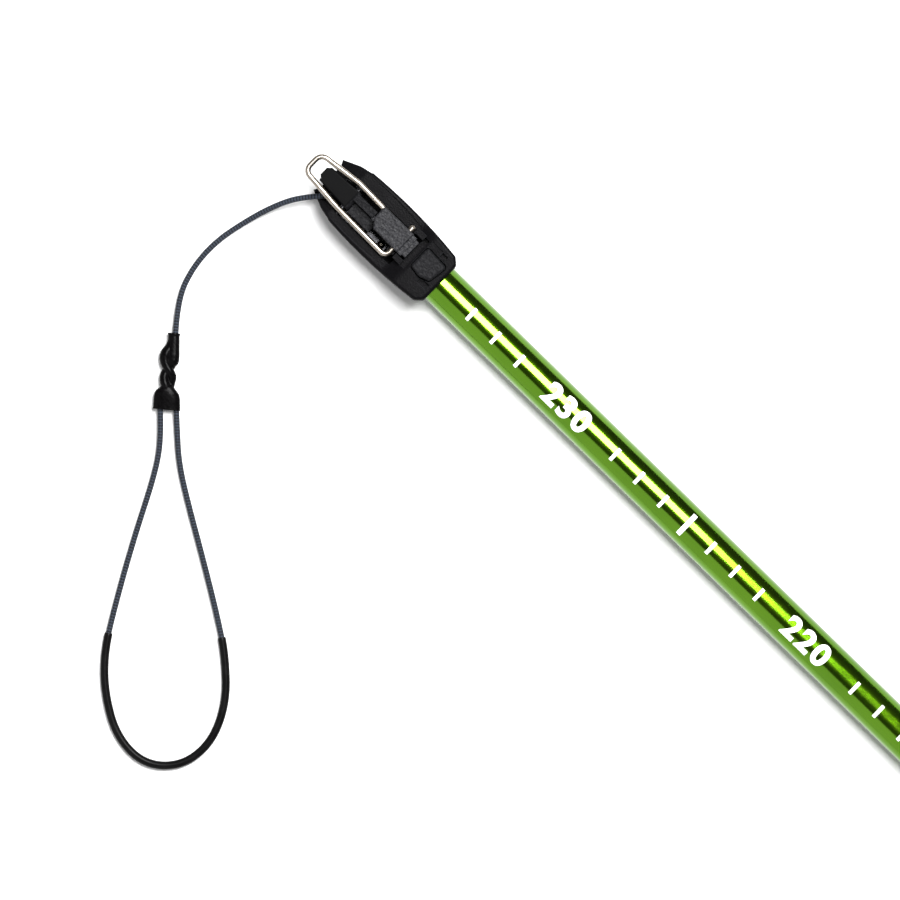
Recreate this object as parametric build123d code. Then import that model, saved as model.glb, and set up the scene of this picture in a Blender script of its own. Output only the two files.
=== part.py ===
from build123d import *
import math
import os

# Avalanche probe: six tubes on a tension cord, a cam lock on the first tube, a pull loop on the cord.
# Millimetres. X runs from the lock's grip end along the first tube, Z is up, and Z = 0 is the ground.
# The written parts are moved back by ORIGIN_X, so that their origin is on the lock's flat underside.
ORIGIN_X = 25.0

# tubes and spigots
SECTIONS = 6
SECTION_LENGTH = 400.0
TUBE_RADIUS = 6.25
BORE_RADIUS = 5.5
SOCKET_FIT = 0.1
SPIGOT_INSIDE = 40.0
SPIGOT_OUTSIDE = 50.0
SPIGOT_BORE = 3.8
TIP_LENGTH = 30.0
TIP_SHANK = 25.0

# the probe lies loosely folded: how far each fold stands open, and how far apart its tubes lie when shut
OPENINGS = [30.0, 12.0, 9.0, 14.0, 10.0]
PITCHES = [17.5, 14.5, 14.5, 14.5, 14.5]
SLACK = 14.0

# cord
CORD_RADIUS = 0.9
CORD_LAP = 3.0
CORD_TRAVEL = SLACK + SPIGOT_OUTSIDE
GRIP_RADIUS = 1.22

# lock housing
COLLAR_FLOOR = 1.0
AXIS_Z = TUBE_RADIUS + COLLAR_FLOOR
LOCK_LENGTH = 46.8
LOCK_HALF_WIDTH = 10.25
RIM_Z = 14.0
COLLAR_Z = 16.4
RAMP_X = (31.5, 36.5)
RIM_ROUND = 1.0
FRONT_RADIUS = 1.25
TUBE_START = 36.0
PLUG_END = 61.0
WELL_FLOOR = 4.0
WELL_END = 32.0
WELL_NEAR_Y = -6.6
WELL_FAR_Y = 5.4

# cam block and wire bail, turning on the bail's own cross wire
WIRE_RADIUS = 0.85
BAIL_X = 29.4
BAIL_Z = 15.0
BAIL_HEAD_RADIUS = 1.1
CAM_REACH = 6.75
BLOCK_FRONT = 19.0
BLOCK_REAR = 31.1
HEEL_REAR = 33.9
BLOCK_NEAR_Y = -2.4
BLOCK_FAR_Y = 5.1
BLOCK_BOTTOM = 13.3
BLOCK_TOP = 17.0

# thumb lever and its jaw
LEVER_X = 10.0
LEVER_Z = 11.5
LEVER_PIN_RADIUS = 0.8
TAB_TOP = 13.2
TAB_BOTTOM = 10.2
TAB_NEAR_Y = -3.6
TAB_FAR_Y = 2.8
BAR_END = 18.6
JAW_SIDE_Y = -0.4

# press pad in the collar's top: its outline, rounding, heights and the floor of its pocket
PAD_OUTLINE = [(36.8, -2.4), (40.8, -3.0), (44.2, -1.8), (45.1, 4.7), (36.8, 5.2)]
PAD_CORNER = 1.0
PAD_ROUND = 0.8
PAD_BOTTOM = 15.3
PAD_TOP = 17.7
PAD_WELL_Z = 14.1

# sleeve that joins the pull cord to the loop: its two ends, and the height of its middle
SLEEVE_TOP = (-0.1, -66.2)
SLEEVE_FOOT = (14.4, -84.3)
SLEEVE_Z = 2.05

# free cords, as the corners of their routes
CORD_EXIT = (3.2, -5.8, AXIS_Z)
PULL_ROUTE = [
    CORD_EXIT,
    (-1.3, -10.5, 7.2),
    (-5.3, -18.2, 4.4),
    (-8.2, -27.5, 1.8),
    (-10.4, -38.0, 0.95),
    (-9.8, -48.5, 0.95),
    (-6.3, -58.3, 1.4),
    (0.3, -65.9, SLEEVE_Z),
]
LOOP_ROUTE = [
    (12.9, -85.5, SLEEVE_Z),
    (18.9, -91.2, 1.5),
    (25.0, -99.8, 1.25),
    (34.6, -119.3, 1.25),
    (45.3, -138.8, 1.25),
    (52.1, -149.8, 1.25),
    (60.6, -158.2, 1.25),
    (72.0, -164.9, 1.25),
    (83.8, -165.3, 1.25),
    (92.2, -157.9, 1.25),
    (93.9, -146.5, 1.25),
    (88.6, -134.6, 1.25),
    (78.6, -124.9, 1.25),
    (69.4, -118.5, 1.25),
    (53.7, -108.8, 1.25),
    (38.2, -99.6, 1.25),
    (28.6, -93.4, 1.25),
    (21.8, -87.3, 1.5),
    (16.7, -82.4, SLEEVE_Z),
]
# the grip covers the loop from the middle of one run to the middle of another
GRIP_RUNS = (4, 12)


def block(x, y, z):
    """A box between two X, two Y and two Z values."""
    size = [b - a for a, b in (x, y, z)]
    middle = [(a + b) / 2 for a, b in (x, y, z)]
    return Pos(*middle) * Box(*size)


def rod_x(radius, x0, x1, y=0.0, z=0.0):
    """A cylinder along X."""
    return Pos((x0 + x1) / 2, y, z) * Rot(0, 90, 0) * Cylinder(radius, x1 - x0)


def rod_y(radius, y0, y1, x, z):
    """A cylinder along Y."""
    return Pos(x, (y0 + y1) / 2, z) * Rot(90, 0, 0) * Cylinder(radius, y1 - y0)


# ---- where the sections lie -------------------------------------------------------------


def unit(heading):
    """The direction of a heading in degrees."""
    return Vector(math.cos(math.radians(heading)), math.sin(math.radians(heading)), 0)


def folded_chain():
    """Each section's mouth and heading, and each fold's hinge point, side and two headings."""
    sections = [(Vector(0, 0, AXIS_Z), 0.0)]
    hinges = []
    for n, (opening, pitch) in enumerate(zip(OPENINGS, PITCHES)):
        mouth, heading = sections[-1]
        side = 1 if n % 2 == 0 else -1
        spigot_end = mouth + unit(heading) * (SECTION_LENGTH + SPIGOT_OUTSIDE)
        hinge = spigot_end + unit(heading) * (SLACK / 2) + unit(heading + 90) * (side * pitch / 2)
        turned = heading + side * (180 - opening)
        next_mouth = hinge + unit(turned) * (SLACK / 2) - unit(turned + 90) * (side * pitch / 2)
        hinges.append((hinge, side, heading, turned))
        sections.append((next_mouth, turned))
    return sections, hinges


SECTION_PLACES, HINGES = folded_chain()


def on_section(n, shape):
    """Moves a shape, made along X from a mouth at the origin, onto section n, counted from 0."""
    mouth, heading = SECTION_PLACES[n]
    return Pos(mouth.X, mouth.Y, mouth.Z) * Rot(0, 0, heading) * shape


# ---- tubes, spigots, tip and the cord inside them ---------------------------------------


def tube(start, end):
    """One straight alloy tube."""
    return rod_x(TUBE_RADIUS, start, end) - rod_x(BORE_RADIUS, start, end)


def spigot():
    """The joining spigot: its thick half is bonded in one tube, its thin half enters the next one."""
    inner = SECTION_LENGTH - SPIGOT_INSIDE
    outer = SECTION_LENGTH + SPIGOT_OUTSIDE
    slim = BORE_RADIUS - SOCKET_FIT
    profile = [
        (inner, SPIGOT_BORE),
        (inner, BORE_RADIUS),
        (SECTION_LENGTH, BORE_RADIUS),
        (SECTION_LENGTH, slim),
        (outer - 5.0, slim),
        (outer - 1.0, slim - 0.9),
        (outer, SPIGOT_BORE + 0.2),
        (outer, SPIGOT_BORE),
    ]
    return revolve(make_face(Polyline(*profile, close=True)), Axis.X)


def tip():
    """The pointed end: a shank bonded in the last tube, a collar and a blunt cone, bored for the cord."""
    collar = SECTION_LENGTH - TIP_LENGTH
    shank = collar - TIP_SHANK
    outline = [
        (shank, 0),
        (shank, BORE_RADIUS),
        (collar, BORE_RADIUS),
        (collar, TUBE_RADIUS),
        (collar + 5.0, TUBE_RADIUS),
        (SECTION_LENGTH - 2.0, 2.3),
        (SECTION_LENGTH - 0.6, 1.7),
        (SECTION_LENGTH, 0.7),
        (SECTION_LENGTH, 0),
    ]
    solid = revolve(make_face(Polyline(*outline, close=True)), Axis.X)
    return solid - rod_x(CORD_RADIUS, shank, shank + 15.0)


def inner_cord(n):
    """The cord inside section n. It stops short of the mouth by the length that the next fold draws in."""
    start = CORD_TRAVEL + CORD_LAP + (PLUG_END if n == 0 else 0)
    end = SECTION_LENGTH + SPIGOT_OUTSIDE - CORD_LAP
    if n == SECTIONS - 1:
        end = SECTION_LENGTH - TIP_LENGTH - TIP_SHANK + 15.0
    return on_section(n, rod_x(CORD_RADIUS, start, end))


def fold_link(n):
    """The bare cord at fold n: out of the spigot, round the fold's hinge axis, into the next mouth."""
    hinge, side, heading, turned = HINGES[n]
    radius = PITCHES[n] / 2
    lap = SLACK / 2 + CORD_LAP
    arc_start = hinge - unit(heading + 90) * (side * radius)
    arc_end = hinge - unit(turned + 90) * (side * radius)
    middle = hinge - unit((heading + turned) / 2 + 90) * (side * radius)
    path = Wire(
        [
            Edge.make_line(arc_start - unit(heading) * lap, arc_start),
            Edge.make_three_point_arc(arc_start, middle, arc_end),
            Edge.make_line(arc_end, arc_end + unit(turned) * lap),
        ]
    )
    section = Plane(origin=path @ 0, z_dir=path % 0) * Circle(CORD_RADIUS)
    return sweep(section, path=path)


# ---- lock -------------------------------------------------------------------------------


def mirrored(points):
    """The points across the X axis, in the order that carries an outline on."""
    return [(x, -y) for x, y in reversed(points)]


def side_cut(points, easing=0.0):
    """A cutter of (x, z) points through the whole width. Easing rounds the ramp's corners."""
    face = make_face(Polyline(*points, close=True))
    if easing:
        face = fillet(face.vertices().filter_by(lambda corner: 20 < corner.X < 40), easing)
    return extrude(Plane.XZ * face, 20, both=True)


def housing_plan():
    """The housing from above: a stepped bow at the grip end, bowed sides and a clipped front."""
    bow = [(0.9, 4.9), (0.0, 6.3), (5.5, 8.7), (9.1, 9.45), (9.5, 9.75)]
    shoulder = (44.6, 9.0)
    front = [(46.5, 7.3), (LOCK_LENGTH, 5.8)]
    plan = make_face(
        [
            Polyline(*mirrored(bow), *bow),
            ThreePointArc(bow[-1], (27.5, LOCK_HALF_WIDTH), shoulder),
            Polyline(shoulder, *front, *mirrored(front), (shoulder[0], -shoulder[1])),
            ThreePointArc((shoulder[0], -shoulder[1]), (27.5, -LOCK_HALF_WIDTH), mirrored(bow)[0]),
        ]
    )
    return fillet(plan.vertices().filter_by(lambda corner: corner.X > 44), FRONT_RADIUS)


def housing_envelope():
    """The boat-shaped outside: a low deck that ramps up to the collar, a rising keel and a rounded rim."""
    shape = extrude(housing_plan(), COLLAR_Z)
    bow = [(-1, 20), (-1, 10.2), (3.5, 12.2), (8, 13.4), (14, RIM_Z)]
    shape -= side_cut(bow + [(RAMP_X[0], RIM_Z), (RAMP_X[1], COLLAR_Z), (50, COLLAR_Z), (50, 20)], 6.0)
    shape -= side_cut([(-1, 5), (0, 3.6), (1.4, 2), (3.6, 0.8), (7, 0), (7, -1), (-1, -1)])
    bilge = make_face(Polyline((-11, -1), (-11, 5.4), (-9, 2.6), (-6.2, 0), (-6.2, -1), close=True))
    for side in (bilge, mirror(bilge, Plane.YZ)):
        shape -= extrude(Plane.YZ * side, 60, both=True)
    rim = [
        edge
        for edge in shape.edges()
        if edge.center().Z > 10.5
        and (abs(edge.center().Y) > 6.4 or edge.center().X > 40)
        and abs(edge.tangent_at(0.5).Z) < 0.9
    ]
    return fillet(ShapeList(rim), RIM_ROUND)


def housing_well():
    """The space under the levers, open at the top and the handle end, with the cord's slot."""
    mouth = [(-2, -4.9), (0.9, -4.9), (5.0, WELL_NEAR_Y), (WELL_END, WELL_NEAR_Y)]
    mouth += [(WELL_END, WELL_FAR_Y), (5.0, WELL_FAR_Y), (0.9, 4.9), (-2, 4.9)]
    well = Pos(0, 0, WELL_FLOOR) * extrude(make_face(Polyline(*mouth, close=True)), 20)
    sill = block((0, 2.6), (-5.5, 5.5), (WELL_FLOOR, 6.0))
    heel_room = rod_y(5.0, BLOCK_NEAR_Y - 0.3, WELL_FAR_Y, BAIL_X, BAIL_Z)
    slot = Pos(CORD_EXIT[0], CORD_EXIT[1], 13) * Rot(0, 0, 46.3) * Box(14, 2.9, 14)
    return well - sill + heel_room + slot


def pad_plan():
    """The pad's outline with rounded corners."""
    plan = make_face(Polyline(*PAD_OUTLINE, close=True))
    return fillet(plan.vertices(), PAD_CORNER)


def housing_collar_cuts():
    """The pad's pocket, the channel behind the cam block and the small recesses round them."""
    pocket = Pos(0, 0, PAD_WELL_Z) * extrude(offset(pad_plan(), 0.3), 6)
    channel = block((34.1, 35.9), (-4.3, 6.9), (12.5, 20))
    facet = block((36.6, 40.9), (5.2, 7.5), (COLLAR_Z - 0.6, 20))
    notch = block((41.1, 43.2), (5.2, 7.2), (COLLAR_Z - 1.7, 20))
    slot = block((41.4, 45.0), (-4.5, -2.6), (COLLAR_Z - 1.3, 20))
    return pocket + channel + facet + notch + slot


def deck_recess():
    """The shallow recess that leaves a thin lip along each side of the deck."""
    side = [(5.4, 0), (5.4, 8.1), (9.5, 8.8)]
    outline = [
        Polyline(*side),
        ThreePointArc(side[-1], (20.7, 9.05), (31.1, 8.3)),
        Polyline((31.1, 8.3), (31.1, 0), side[0]),
    ]
    half = extrude(make_face(outline), 2)
    return Pos(0, 0, RIM_Z - 0.55) * (half + mirror(half, Plane.XZ))


def lock_housing():
    """The moulded housing: envelope less well, socket, pocket and pin holes, plus lugs and axle saddles."""
    shape = housing_envelope() - housing_well() - housing_collar_cuts()
    shape -= rod_x(TUBE_RADIUS, TUBE_START, LOCK_LENGTH + 1, z=AXIS_Z)
    shape -= rod_x(1.6, WELL_END - 1, TUBE_START + 1, z=AXIS_Z)
    shape -= rod_y(LEVER_PIN_RADIUS, -8.4, 7.2, LEVER_X, LEVER_Z)
    shape -= deck_recess()
    for y0, y1 in ((5.6, 7.4), (-4.4, -2.7)):
        shape += block((31.1, 34.1), (y0, y1), (RIM_Z - 2.0 if y0 > 0 else WELL_FLOOR, RIM_Z + 2.5))
    saddles = block((27.7, 31.1), (WELL_FAR_Y, 6.9), (RIM_Z - 1.2, BAIL_Z))
    saddles += block((28.1, 30.7), (-3.8, BLOCK_NEAR_Y - 0.3), (WELL_FLOOR, BAIL_Z))
    saddles -= rod_y(BAIL_HEAD_RADIUS + 0.06, WELL_FAR_Y - 1, 8, BAIL_X, BAIL_Z)
    saddles -= rod_y(WIRE_RADIUS + 0.06, -5, 0, BAIL_X, BAIL_Z)
    return shape + saddles


def tube_plug():
    """The bored plug that backs the first tube where the housing grips it."""
    outer = rod_x(BORE_RADIUS, TUBE_START, PLUG_END, z=AXIS_Z)
    return outer - rod_x(1.6, TUBE_START, PLUG_END, z=AXIS_Z)


def anvil_plate():
    """The grooved steel plate that the cord runs over, on the well's floor."""
    plate = block((9.0, 27.6), (-6.2, 0.8), (WELL_FLOOR, 6.2))
    for i in range(6):
        plate -= rod_y(0.35, -6.3, 0.9, 11.2 + 1.7 * i, 6.2)
    return plate - Pos(25.9, -3.9, 5) * Cylinder(0.9, 4)


def anvil_rivet():
    """The domed rivet that holds the anvil plate."""
    shank = Pos(25.9, -3.9, (WELL_FLOOR + 6.2) / 2) * Cylinder(0.9, 6.2 - WELL_FLOOR)
    head = Pos(25.9, -3.9, 6.2 + 0.35) * Cylinder(1.25, 0.7)
    dome = Pos(25.9, -3.9, 6.9) * (Sphere(1.25) & Pos(0, 0, 0.6) * Box(3, 3, 1.2))
    return shank + head + dome


def bail_path():
    """The bail's centre line: out of the block's front, round the handle end, back and across as the axle."""
    corners = [
        (23.0, 4.3, BAIL_Z),
        (8.7, 4.7, BAIL_Z),
        (-5.7, 2.9, BAIL_Z),
        (-5.7, -3.9, BAIL_Z),
        (8.7, -5.15, BAIL_Z),
        (BAIL_X, -5.6, BAIL_Z),
        (BAIL_X, BLOCK_FAR_Y + 0.3, BAIL_Z),
    ]
    return FilletPolyline(*corners, radius=[9.0, 2.6, 2.4, 9.0, 1.8])


def wire_bail():
    """The bent wire bail, with a peened head on the end of its cross wire."""
    path = bail_path()
    section = Plane(origin=path @ 0, z_dir=path % 0) * Circle(WIRE_RADIUS)
    wire = sweep(section, path=path)
    head_y = BLOCK_FAR_Y + 0.3
    head = rod_y(BAIL_HEAD_RADIUS, head_y, head_y + 0.5, BAIL_X, BAIL_Z)
    dome = Sphere(BAIL_HEAD_RADIUS) & Pos(0, 1, 0) * Box(3, 2, 3)
    return wire + head + Pos(BAIL_X, head_y + 0.5, BAIL_Z) * dome


def cam_block():
    """The block on the bail: a chamfered body, a stepped heel and the cam finger that pins the cord."""
    body_plan = [
        (BLOCK_FRONT, BLOCK_FAR_Y),
        (BLOCK_FRONT, 0.4),
        (21.1, BLOCK_NEAR_Y + 0.2),
        (BLOCK_REAR, BLOCK_NEAR_Y),
        (BLOCK_REAR, BLOCK_FAR_Y),
    ]
    body = extrude(make_face(Polyline(*body_plan, close=True)), BLOCK_TOP - BLOCK_BOTTOM)
    body = Pos(0, 0, BLOCK_BOTTOM) * body
    body = fillet(body.faces().sort_by(Axis.Z)[-1].edges(), 0.55)
    heel = block((BLOCK_REAR, 32.6), (BLOCK_NEAR_Y + 0.1, BLOCK_FAR_Y - 0.3), (13.8, 16.5))
    heel += block((32.6, HEEL_REAR), (BLOCK_NEAR_Y + 0.6, BLOCK_FAR_Y - 0.8), (14.0, 16.1))
    finger = rod_y(CAM_REACH, -1.9, 1.5, BAIL_X, BAIL_Z) & block((27.6, 31.2), (-2, 2), (0, BLOCK_BOTTOM + 1))
    groove = block((22.3, 27.1), (-0.15, 0.1), (BLOCK_TOP - 0.25, BLOCK_TOP + 1))
    return body + heel + finger - groove - wire_bail()


def thumb_lever():
    """The thumb lever: a scalloped tab, a raised bar and the arm that carries the jaw."""
    tab_plan = [
        (-0.6, TAB_FAR_Y - 0.5),
        (-0.9, 1.8),
        (-1.6, 1.3),
        (-1.6, -1.5),
        (-0.9, -2.1),
        (-0.6, TAB_NEAR_Y + 0.6),
        (10.5, TAB_NEAR_Y),
        (10.5, TAB_FAR_Y),
    ]
    tab = extrude(make_face(Polyline(*tab_plan, close=True)), TAB_TOP - TAB_BOTTOM)
    tab = Pos(0, 0, TAB_BOTTOM) * tab
    tab = fillet(tab.faces().sort_by(Axis.Z)[-1].edges(), 0.35)
    tab += rod_y(1.7, TAB_NEAR_Y, TAB_FAR_Y, LEVER_X, LEVER_Z)
    bar = block((10.5, BAR_END), (JAW_SIDE_Y + 0.2, 2.2), (11.0, TAB_TOP + 0.4))
    arm = block((LEVER_X, BAR_END), (JAW_SIDE_Y, 2.2), (8.8, 11.0))
    shape = tab + bar + arm
    return shape - rod_y(LEVER_PIN_RADIUS + 0.05, -9, 9, LEVER_X, LEVER_Z)


def jaw_plate():
    """The toothed jaw beside the arm, which rests on the cord."""
    jaw = block((11.9, 20.7), (-4.0, JAW_SIDE_Y), (8.2, 11.5))
    for i in range(5):
        jaw -= rod_y(0.35, -4.1, 0, 12.9 + 1.7 * i, 8.2)
    return jaw


def lever_pin():
    """The lever's steel pin, pressed into both walls."""
    return rod_y(LEVER_PIN_RADIUS, -8.4, 7.2, LEVER_X, LEVER_Z)


def lever_spring():
    """The lever's return spring, as the outer shape of its coil on the pin."""
    coil = rod_y(1.65, 3.1, 5.0, LEVER_X, LEVER_Z)
    return coil - rod_y(1.2, 3.0, 5.1, LEVER_X, LEVER_Z)


def press_pad():
    """The raised pad in the collar's top."""
    pad = Pos(0, 0, PAD_BOTTOM) * extrude(pad_plan(), PAD_TOP - PAD_BOTTOM)
    return fillet(pad.faces().sort_by(Axis.Z)[-1].edges(), PAD_ROUND)


def lock_cord():
    """The cord from the plug, under the cam finger and the jaw, to the slot in the housing's corner."""
    corners = [
        (PLUG_END - 1.0, 0, AXIS_Z),
        (31.0, 0, AXIS_Z),
        (22.0, -2.2, AXIS_Z),
        (9.0, -2.6, AXIS_Z),
        (5.3, -3.6, AXIS_Z),
        CORD_EXIT,
    ]
    return cord_tube(corners, CORD_RADIUS, "lock_cord")


# ---- free cord, sleeve, loop and grip ---------------------------------------------------


def bend_radii(corners):
    """Each corner's radius: 0.45 of its shorter run, divided by the tangent of half the turn."""
    radii = []
    for a, b, c in zip(corners, corners[1:], corners[2:]):
        before = Vector(*b) - Vector(*a)
        after = Vector(*c) - Vector(*b)
        half_turn = math.radians(before.get_angle(after)) / 2
        radii.append(0.45 * min(before.length, after.length) / math.tan(half_turn))
    return radii


def cord_tube(corners, radius, name, bore=0.0, radii=None):
    """A round cord or sleeve along straight runs joined by tangent arcs. Prints its bends and its volume."""
    radii = radii or bend_radii(corners)
    path = FilletPolyline(*corners, radius=radii)
    section = Circle(radius)
    if bore:
        section = section - Circle(bore)
    solid = sweep(Plane(origin=path @ 0, z_dir=path % 0) * section, path=path)
    expected = math.pi * (radius**2 - bore**2) * path.length
    print(f"{name}: length {path.length:.1f}, radii {[round(r, 1) for r in radii]}")
    print(f"{name}: volume {solid.volume:.1f}, section x length {expected:.1f}")
    return solid


def join_sleeve():
    """The shrunk sleeve over the cord's knot: neck, twisted waist and a flat skirt over the two loop legs."""
    along = Vector(SLEEVE_FOOT[0] - SLEEVE_TOP[0], SLEEVE_FOOT[1] - SLEEVE_TOP[1], 0)
    direction = along.normalized()
    across = Vector(-direction.Y, direction.X, 0)
    rings = [
        (0.0, 0.0, 1.85, 1.75),
        (0.19, 0.2, 1.95, 1.8),
        (0.31, -0.7, 3.1, 2.0),
        (0.43, -0.6, 2.4, 2.0),
        (0.6, -0.6, 2.45, 1.9),
        (0.71, -0.3, 2.3, 1.8),
        (0.84, -0.25, 4.0, 1.75),
        (1.0, 0.0, 4.2, 1.6),
    ]
    faces = []
    for share, shift, half_width, half_height in rings:
        middle = Vector(SLEEVE_TOP[0], SLEEVE_TOP[1], SLEEVE_Z) + along * share + across * shift
        faces.append(Plane(origin=middle, x_dir=across, z_dir=direction) * Ellipse(half_width, half_height))
    return loft(faces)


def loop_grip():
    """The rubber tube on the bottom of the loop, from the middle of one run to the middle of another."""
    first, last = GRIP_RUNS
    start = (Vector(*LOOP_ROUTE[first]) + Vector(*LOOP_ROUTE[first + 1])) / 2
    end = (Vector(*LOOP_ROUTE[last]) + Vector(*LOOP_ROUTE[last + 1])) / 2
    corners = [tuple(start), *LOOP_ROUTE[first + 1 : last + 1], tuple(end)]
    radii = bend_radii(LOOP_ROUTE)[first:last]
    return cord_tube(corners, GRIP_RADIUS, "loop_grip", CORD_RADIUS, radii)


# ---- every node -------------------------------------------------------------------------


def all_nodes():
    """Every sub-part by its node name."""
    nodes = {
        "lock_housing": lock_housing(),
        "tube_plug": tube_plug(),
        "anvil_plate": anvil_plate(),
        "anvil_rivet": anvil_rivet(),
        "wire_bail": wire_bail(),
        "cam_block": cam_block(),
        "thumb_lever": thumb_lever(),
        "jaw_plate": jaw_plate(),
        "lever_pin": lever_pin(),
        "lever_spring": lever_spring(),
        "press_pad": press_pad(),
        "lock_cord": lock_cord(),
        "pull_cord": cord_tube(PULL_ROUTE, CORD_RADIUS, "pull_cord"),
        "join_sleeve": join_sleeve(),
        "loop_cord": cord_tube(LOOP_ROUTE, CORD_RADIUS, "loop_cord"),
        "loop_grip": loop_grip(),
        "tip_cone": on_section(SECTIONS - 1, tip()),
    }
    for n in range(SECTIONS):
        start = TUBE_START if n == 0 else 0.0
        end = SECTION_LENGTH - (TIP_LENGTH if n == SECTIONS - 1 else 0.0)
        nodes[f"tube_{n + 1}"] = on_section(n, tube(start, end))
        nodes[f"tension_cord_{n + 1}"] = inner_cord(n)
        if n < SECTIONS - 1:
            nodes[f"spigot_{n + 1}"] = on_section(n, spigot())
            nodes[f"fold_link_{n + 1}"] = fold_link(n)
    return nodes


os.makedirs("parts", exist_ok=True)
for name, shape in all_nodes().items():
    export_step(Pos(-ORIGIN_X, 0, 0) * shape, f"parts/{name}.step")
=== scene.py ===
import bmesh
import bpy
import math
from mathutils import Matrix, Vector


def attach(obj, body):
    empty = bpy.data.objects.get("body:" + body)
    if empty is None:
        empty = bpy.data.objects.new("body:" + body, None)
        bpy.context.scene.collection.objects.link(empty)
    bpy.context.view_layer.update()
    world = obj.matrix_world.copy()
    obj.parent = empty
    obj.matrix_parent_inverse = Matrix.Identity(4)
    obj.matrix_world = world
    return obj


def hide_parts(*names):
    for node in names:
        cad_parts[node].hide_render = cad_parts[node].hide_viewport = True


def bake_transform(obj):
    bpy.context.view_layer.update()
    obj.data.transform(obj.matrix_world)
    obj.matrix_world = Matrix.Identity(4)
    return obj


# Avalanche probe: looks. Routes and sizes are in millimetres from the lock's grip end, and mm() turns
# them into metres in the frame that the CAD parts share, whose origin is ORIGIN_X further along.
ORIGIN_X = 25.0

# sections
SECTIONS = 6
SECTION_LENGTH = 400.0
TUBE_RADIUS = 6.25
BORE_RADIUS = 5.5
AXIS_Z = 7.25
TUBE_START = 36.0
SPIGOT_INSIDE = 40.0
SPIGOT_OUTSIDE = 50.0
SPIGOT_BORE = 3.8
SPIGOT_SLIM = 5.4
TIP_LENGTH = 30.0
TIP_SHANK = 25.0
OPENINGS = [30.0, 12.0, 9.0, 14.0, 10.0]
PITCHES = [17.5, 14.5, 14.5, 14.5, 14.5]
SLACK = 14.0
CORD_LAP = 3.0

# view and ground
VIEW_CENTRE = (83.7, -33.5)
VIEW_TURN = 44.3
VIEW_WIDTH = 270.3
LENS = 400.0
FLOOR_HALF_SIZE_M = 15.0
FILL_LIGHT = 0.11

# print: a number's height, and the (width, height) of a centimetre tick and of a five-centimetre bar
NUMBER_HEIGHT = 7.6
TICK = (1.1, 4.6)
BAR = (1.5, 8.4)
PRINT_START_CM = 6
INK_THICKNESS = 0.015
INK_STRIP = 0.4

# lever, whose tab is smooth and painted darker as painted shade, and its spring
TAB_END_X = 10.6
LEVER_PIN_X = 10.0
LEVER_PIN_Z = 11.5
SPRING_TURNS = 3.5
SPRING_WIRE_RADIUS = 0.22
SPRING_COIL_RADIUS = 1.42

# cords
CORD_RADIUS = 0.9
STRAND_HALF_WIDTH = 0.34
STRAND_HALF_THICKNESS = 0.13
STRAND_SIDES = 6
WEAVE = 0.07
BRAID_PITCH = 7.2
CARRIERS = 8
STEPS_PER_CROSSING = 7
CORE_RADIUS = CORD_RADIUS - 0.22
CORE_SIDES = 12
LINE_STEP_M = 0.0004
GRIP_RADIUS = 1.22
SLEEVE_Z = 2.05
SLEEVE_TOP = (-0.1, -66.2, SLEEVE_Z)
SLEEVE_FOOT = (14.4, -84.3, SLEEVE_Z)
CORD_EXIT = (3.2, -5.8, AXIS_Z)
PULL_ROUTE = [
    CORD_EXIT,
    (-1.3, -10.5, 7.2),
    (-5.3, -18.2, 4.4),
    (-8.2, -27.5, 1.8),
    (-10.4, -38.0, 0.95),
    (-9.8, -48.5, 0.95),
    (-6.3, -58.3, 1.4),
    (0.3, -65.9, SLEEVE_Z),
]
LOOP_ROUTE = [
    (12.9, -85.5, SLEEVE_Z),
    (18.9, -91.2, 1.5),
    (25.0, -99.8, 1.25),
    (34.6, -119.3, 1.25),
    (45.3, -138.8, 1.25),
    (52.1, -149.8, 1.25),
    (60.6, -158.2, 1.25),
    (72.0, -164.9, 1.25),
    (83.8, -165.3, 1.25),
    (92.2, -157.9, 1.25),
    (93.9, -146.5, 1.25),
    (88.6, -134.6, 1.25),
    (78.6, -124.9, 1.25),
    (69.4, -118.5, 1.25),
    (53.7, -108.8, 1.25),
    (38.2, -99.6, 1.25),
    (28.6, -93.4, 1.25),
    (21.8, -87.3, 1.5),
    (16.7, -82.4, SLEEVE_Z),
]
GRIP_START = (48.7, -144.3, 1.25)
GRIP_END = (74.0, -121.7, 1.25)


def mm(x, y, z):
    """A point in millimetres from the lock's grip end, as metres in the shared frame."""
    return Vector(((x - ORIGIN_X) / 1000, y / 1000, z / 1000))


# ---- mesh helpers -----------------------------------------------------------------------


def mesh_object(name, vertices, faces, smooth=True):
    """A mesh object from vertices and faces, smooth shaded."""
    mesh = bpy.data.meshes.new(name)
    mesh.from_pydata([tuple(v) for v in vertices], [], faces)
    mesh.validate()
    if smooth:
        mesh.shade_smooth()
    obj = bpy.data.objects.new(name, mesh)
    bpy.context.scene.collection.objects.link(obj)
    return obj


def ring_faces(rings, sides, closed=False, first=0):
    """The faces between rings of vertices that follow one another."""
    faces = []
    for r in range(rings if closed else rings - 1):
        a = first + r * sides
        b = first + (r + 1) % rings * sides
        for s in range(sides):
            t = (s + 1) % sides
            faces.append((a + s, a + t, b + t, b + s))
    return faces


def capped_faces(rings, sides):
    """The faces between rings of vertices, and one face over each end."""
    count = rings * sides
    return [*ring_faces(rings, sides), tuple(reversed(range(sides))), tuple(range(count - sides, count))]


def along(points):
    """The distance along a line of points, at each of them."""
    distances = [0.0]
    for a, b in zip(points, points[1:]):
        distances.append(distances[-1] + (b - a).length)
    return distances


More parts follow.
